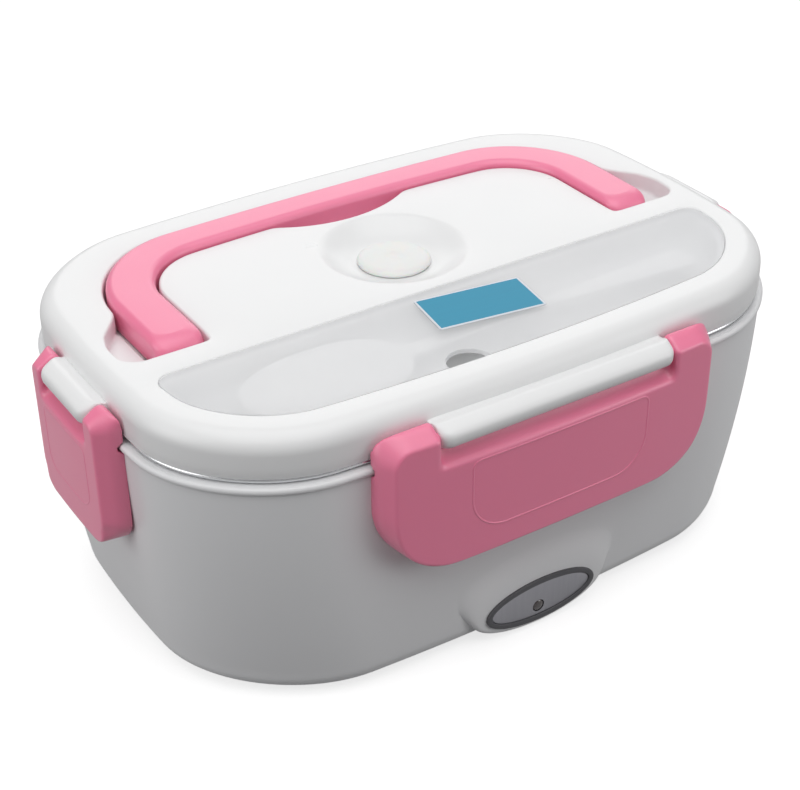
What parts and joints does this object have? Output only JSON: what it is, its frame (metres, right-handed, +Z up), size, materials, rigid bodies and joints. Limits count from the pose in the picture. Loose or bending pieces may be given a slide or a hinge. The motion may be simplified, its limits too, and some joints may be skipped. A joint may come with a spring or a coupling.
{
  "type": "electric lunch box",
  "caption": "Oblong heated lunch box with a lift-out steel tray, a clip-on lid with swing latches, a folding U handle, a vent plug and a covered spoon compartment.",
  "frame": {"origin": "on the resting surface, under the middle of the box", "axes": "+X along the length to the right, +Y to the rear where the inlet is, +Z up; the badge faces -Y"},
  "size_m": [0.2424, 0.1648, 0.1],
  "materials": {
    "white_body": "satin gloss",
    "white_lid": "gloss",
    "pink": "satin gloss",
    "tray_steel": "brushed",
    "plate_aluminium": "satin",
    "spring_steel": "satin",
    "heater_case": "satin",
    "fuse_case": "satin",
    "lead_red": "matt",
    "silicone_grey": "matt",
    "silicone_clear": "satin",
    "dark_grey": "matt",
    "badge_silver": "satin",
    "lens_dark": "gloss",
    "board_green": "satin",
    "pin_metal": "polished",
    "screw_steel": "satin",
    "foot_rubber": "matt",
    "spoon_white": "gloss",
    "cover_clear": "hazy clear",
    "label_blue": "satin"
  },
  "bodies": {
    "base": {"outer_tub": "white_body", "inner_liner": "white_body", "plate_seal": "silicone_grey", "heating_plate": "plate_aluminium", "ptc_heater": "heater_case", "heater_clamp": "spring_steel", "clamp_screws": "screw_steel", "thermal_fuse": "fuse_case", "heater_wires": "lead_red", "inlet_housing": "dark_grey", "inlet_pins": "pin_metal", "badge_ring": "dark_grey", "badge_plate": "badge_silver", "lamp_lens": "lens_dark", "lamp_board": "board_green", "base_screws": "screw_steel", "rubber_feet": "foot_rubber"},
    "tray": {"steel_tray": "tray_steel"},
    "lid": {"lid_top": "white_lid", "lid_inner": "white_lid", "seal_ring": "silicone_clear"},
    "vent": {"vent_plug": "silicone_clear"},
    "handle": {"handle": "pink"},
    "front_clip": {"front_clip": "pink"},
    "rear_clip": {"rear_clip": "pink"},
    "left_clip": {"left_clip": "pink"},
    "right_clip": {"right_clip": "pink"},
    "spoon": {"spoon": "spoon_white"},
    "cover": {"spoon_cover": "cover_clear", "cover_label": "label_blue"}
  },
  "joints": [
    {"name": "tray_lift", "type": "slide", "parent": "base", "child": "tray", "axis": [0, 0, 1], "range_m": [0, 0.09]},
    {"name": "lid_lift", "type": "slide", "parent": "tray", "child": "lid", "axis": [0, 0, 1], "range_m": [0, 0.1]},
    {"name": "front_clip_hinge", "type": "hinge", "parent": "lid", "child": "front_clip", "pos_m": [0, -0.07805, 0.0886], "axis": [-1, 0, 0], "range_deg": [0, 120]},
    {"name": "rear_clip_hinge", "type": "hinge", "parent": "lid", "child": "rear_clip", "pos_m": [0, 0.07805, 0.0886], "axis": [1, 0, 0], "range_deg": [0, 120]},
    {"name": "left_clip_hinge", "type": "hinge", "parent": "lid", "child": "left_clip", "pos_m": [-0.1169, 0, 0.0886], "axis": [0, 1, 0], "range_deg": [0, 120]},
    {"name": "right_clip_hinge", "type": "hinge", "parent": "lid", "child": "right_clip", "pos_m": [0.1169, 0, 0.0886], "axis": [0, -1, 0], "range_deg": [0, 120]},
    {"name": "handle_hinge", "type": "hinge", "parent": "lid", "child": "handle", "pos_m": [0, -0.003, 0.0936], "axis": [1, 0, 0], "range_deg": [0, 90]},
    {"name": "vent_lift", "type": "slide", "parent": "lid", "child": "vent", "axis": [0, 0, 1], "range_m": [0, 0.004]},
    {"name": "spoon_lift", "type": "slide", "parent": "lid", "child": "spoon", "axis": [0, 0, 1], "range_m": [0, 0.05]},
    {"name": "cover_lift", "type": "slide", "parent": "spoon", "child": "cover", "axis": [0, 0, 1], "range_m": [0, 0.03]}
  ]
}
